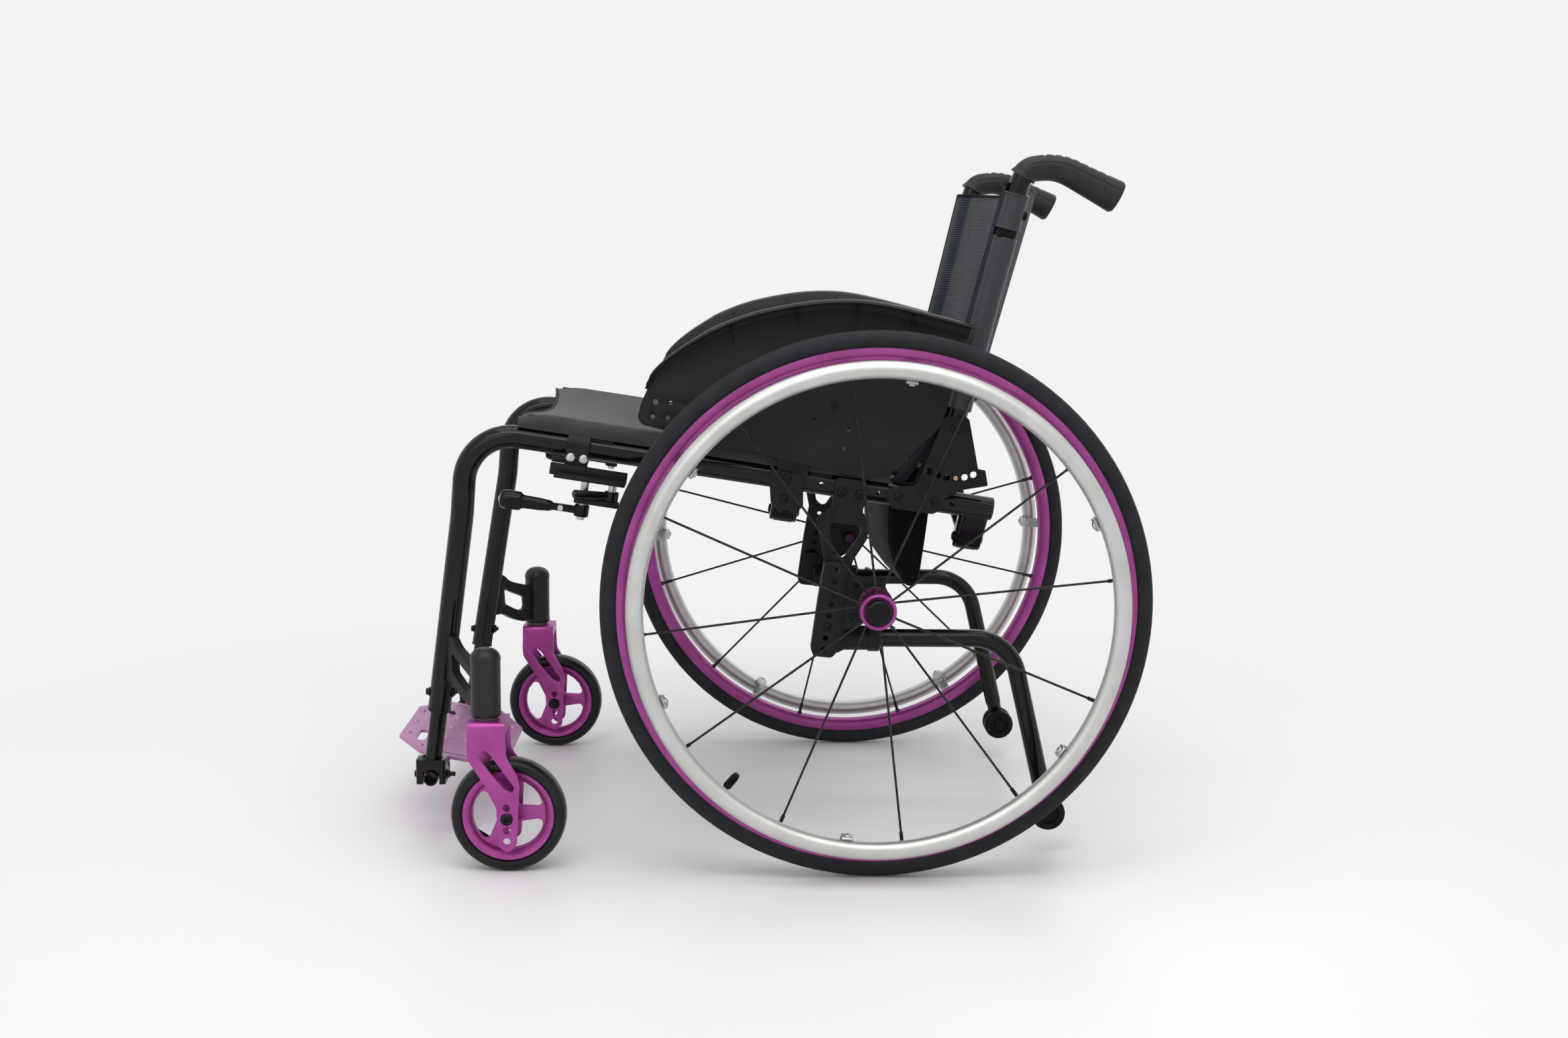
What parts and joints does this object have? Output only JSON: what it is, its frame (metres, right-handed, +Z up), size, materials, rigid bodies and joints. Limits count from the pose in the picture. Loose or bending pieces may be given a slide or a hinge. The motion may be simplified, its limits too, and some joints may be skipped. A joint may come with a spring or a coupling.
{
  "type": "folding wheelchair",
  "caption": "Folding manual wheelchair with a double cross-brace, quick-release rear wheels with handrims, swivelling castors, angle-adjustable back, flip-up footplate and anti-tip rollers.",
  "frame": {"origin": "on the ground under the middle of the unfolded chair", "axes": "+Y to the rear, along the chair; +X to the sitter's left; +Z up"},
  "size_m": [0.655, 0.8433, 0.7775],
  "materials": {
    "frame_black": "gloss black powder coat",
    "matte_black": "matt black anodised",
    "guard_plastic": "matt moulded",
    "cap_plastic": "moulded black",
    "purple_anodised": "purple anodised",
    "handrim_silver": "satin silver anodised",
    "bolt_steel": "zinc plated",
    "rear_tyre": "grey-black rubber",
    "castor_tyre": "smooth solid tyre",
    "grip_foam": "moulded grip",
    "roller_rubber": "solid roller",
    "seat_cloth": "woven nylon",
    "back_mesh": "ribbed spacer mesh"
  },
  "bodies": {
    "root": {"side_frame_left": "frame_black", "footrest_tube_left": "frame_black", "castor_bracket_left": "matte_black", "castor_housing_left": "frame_black", "axle_plate_left": "matte_black", "axle_block_left": "matte_black", "anti_tip_receiver_left": "matte_black", "side_guard_left": "guard_plastic", "guard_holder_left": "matte_black", "back_bracket_left": "matte_black", "brake_mount_left": "matte_black"},
    "cross_brace_a_body": {"cross_brace_a": "frame_black", "brace_bolt_front": "bolt_steel", "brace_bolt_rear": "bolt_steel", "seat_sling": "seat_cloth"},
    "cross_brace_b_body": {"cross_brace_b": "frame_black"},
    "right_side": {"side_frame_right": "frame_black", "footrest_tube_right": "frame_black", "castor_bracket_right": "matte_black", "castor_housing_right": "frame_black", "axle_plate_right": "matte_black", "axle_block_right": "matte_black", "anti_tip_receiver_right": "matte_black", "side_guard_right": "guard_plastic", "guard_holder_right": "matte_black", "back_bracket_right": "matte_black", "brake_mount_right": "matte_black"},
    "footplate_body": {"footplate": "purple_anodised", "footplate_mount": "purple_anodised"},
    "rear_wheel_left": {"rear_tyre_left": "rear_tyre", "rear_rim_left": "purple_anodised", "rear_hub_left": "purple_anodised", "handrim_left": "handrim_silver"},
    "button_left": {"quick_release_button_left": "cap_plastic"},
    "castor_swivel_left": {"castor_fork_left": "purple_anodised", "castor_axle_left": "bolt_steel"},
    "castor_wheel_left": {"castor_hub_left": "purple_anodised", "castor_tyre_left": "castor_tyre"},
    "backrest_left": {"back_post_left": "frame_black", "push_grip_left": "grip_foam", "back_sling": "back_mesh"},
    "brake_lever_body_left": {"brake_lever_left": "cap_plastic"},
    "brake_shoe_body_left": {"brake_shoe_left": "bolt_steel"},
    "anti_tip_left": {"anti_tip_tube_left": "frame_black"},
    "roller_left": {"anti_tip_roller_left": "roller_rubber"},
    "rear_wheel_right": {"rear_tyre_right": "rear_tyre", "rear_rim_right": "purple_anodised", "rear_hub_right": "purple_anodised", "handrim_right": "handrim_silver"},
    "button_right": {"quick_release_button_right": "cap_plastic"},
    "castor_swivel_right": {"castor_fork_right": "purple_anodised", "castor_axle_right": "bolt_steel"},
    "castor_wheel_right": {"castor_hub_right": "purple_anodised", "castor_tyre_right": "castor_tyre"},
    "backrest_right": {"back_post_right": "frame_black", "push_grip_right": "grip_foam"},
    "brake_lever_body_right": {"brake_lever_right": "cap_plastic"},
    "brake_shoe_body_right": {"brake_shoe_right": "bolt_steel"},
    "anti_tip_right": {"anti_tip_tube_right": "frame_black"},
    "roller_right": {"anti_tip_roller_right": "roller_rubber"}
  },
  "joints": [
    {"name": "fold", "type": "hinge", "parent": "root", "child": "cross_brace_a_body", "pos_m": [0.179, 0.12082, 0.37241], "axis": [0, 0.9895, -0.1444], "range_deg": [0, 65], "deforming": ["back_sling"]},
    {"name": "brace_cross", "type": "hinge", "parent": "cross_brace_a_body", "child": "cross_brace_b_body", "pos_m": [0, 0.12428, 0.39616], "axis": [0, 0.9895, -0.1444], "range_deg": [-130, 0], "deforming": ["seat_sling"]},
    {"name": "right_fold", "type": "hinge", "parent": "cross_brace_b_body", "child": "right_side", "pos_m": [-0.179, 0.12082, 0.37241], "axis": [0, 0.9895, -0.1444], "range_deg": [0, 65]},
    {"name": "footplate_flip", "type": "hinge", "parent": "root", "child": "footplate_body", "pos_m": [0.138, -0.36655, 0.077], "axis": [0, 1, 0], "range_deg": [0, 90]},
    {"name": "rear_wheel_spin_left", "type": "hinge", "parent": "root", "child": "rear_wheel_left", "pos_m": [0.2805, 0.12645, 0.295], "axis": [1, 0, 0], "continuous": true},
    {"name": "button_push_left", "type": "slide", "parent": "rear_wheel_left", "child": "button_left", "axis": [-1, 0, 0], "range_m": [0, 0.003], "stiffness_N_per_m": 800, "springref_m": -0.001},
    {"name": "castor_swivel_turn_left", "type": "hinge", "parent": "root", "child": "castor_swivel_left", "pos_m": [0.261, -0.29255, 0.156], "axis": [0, 0, 1], "continuous": true},
    {"name": "castor_spin_left", "type": "hinge", "parent": "castor_swivel_left", "child": "castor_wheel_left", "pos_m": [0.261, -0.26855, 0.0625], "axis": [1, 0, 0], "continuous": true},
    {"name": "backrest_lean_left", "type": "hinge", "parent": "root", "child": "backrest_left", "pos_m": [0.204, 0.21345, 0.482], "axis": [1, 0, 0], "range_deg": [-30.9, 20.6]},
    {"name": "brake_lever_swing_left", "type": "hinge", "parent": "root", "child": "brake_lever_body_left", "pos_m": [0.241, -0.19024, 0.39252], "axis": [0, 0.1444, 0.9895], "range_deg": [0, 60]},
    {"name": "brake_shoe_swing_left", "type": "hinge", "parent": "root", "child": "brake_shoe_body_left", "pos_m": [0.241, -0.15841, 0.40708], "axis": [0, 0.1444, 0.9895], "range_deg": [0, 66]},
    {"name": "anti_tip_turn_left", "type": "hinge", "parent": "root", "child": "anti_tip_left", "pos_m": [0.2, 0.12645, 0.246], "axis": [0, 1, 0], "range_deg": [0, 180]},
    {"name": "roller_spin_left", "type": "hinge", "parent": "anti_tip_left", "child": "roller_left", "pos_m": [0.2, 0.32862, 0.048], "axis": [1, 0, 0], "continuous": true},
    {"name": "rear_wheel_spin_right", "type": "hinge", "parent": "right_side", "child": "rear_wheel_right", "pos_m": [-0.2805, 0.12645, 0.295], "axis": [1, 0, 0], "continuous": true},
    {"name": "button_push_right", "type": "slide", "parent": "rear_wheel_right", "child": "button_right", "axis": [1, 0, 0], "range_m": [0, 0.003], "stiffness_N_per_m": 800, "springref_m": -0.001},
    {"name": "castor_swivel_turn_right", "type": "hinge", "parent": "right_side", "child": "castor_swivel_right", "pos_m": [-0.261, -0.29255, 0.156], "axis": [0, 0, 1], "continuous": true},
    {"name": "castor_spin_right", "type": "hinge", "parent": "castor_swivel_right", "child": "castor_wheel_right", "pos_m": [-0.261, -0.26855, 0.0625], "axis": [1, 0, 0], "continuous": true},
    {"name": "backrest_lean_right", "type": "hinge", "parent": "right_side", "child": "backrest_right", "pos_m": [-0.204, 0.21345, 0.482], "axis": [1, 0, 0], "range_deg": [-30.9, 20.6]},
    {"name": "brake_lever_swing_right", "type": "hinge", "parent": "right_side", "child": "brake_lever_body_right", "pos_m": [-0.241, -0.19024, 0.39252], "axis": [0, -0.1444, -0.9895], "range_deg": [0, 60]},
    {"name": "brake_shoe_swing_right", "type": "hinge", "parent": "right_side", "child": "brake_shoe_body_right", "pos_m": [-0.241, -0.15841, 0.40708], "axis": [0, -0.1444, -0.9895], "range_deg": [0, 66]},
    {"name": "anti_tip_turn_right", "type": "hinge", "parent": "right_side", "child": "anti_tip_right", "pos_m": [-0.2, 0.12645, 0.246], "axis": [0, -1, 0], "range_deg": [0, 180]},
    {"name": "roller_spin_right", "type": "hinge", "parent": "anti_tip_right", "child": "roller_right", "pos_m": [-0.2, 0.32862, 0.048], "axis": [1, 0, 0], "continuous": true}
  ],
  "couplings": [
    {"joint": "brace_cross", "follows": "fold", "ratio": -2},
    {"joint": "right_fold", "follows": "fold", "ratio": 1},
    {"joint": "footplate_flip", "follows": "fold", "ratio": 1.38},
    {"joint": "backrest_lean_right", "follows": "backrest_lean_left", "ratio": 1},
    {"joint": "brake_shoe_swing_left", "follows": "brake_lever_swing_left", "ratio": 1.1},
    {"joint": "brake_shoe_swing_right", "follows": "brake_lever_swing_right", "ratio": 1.1}
  ]
}
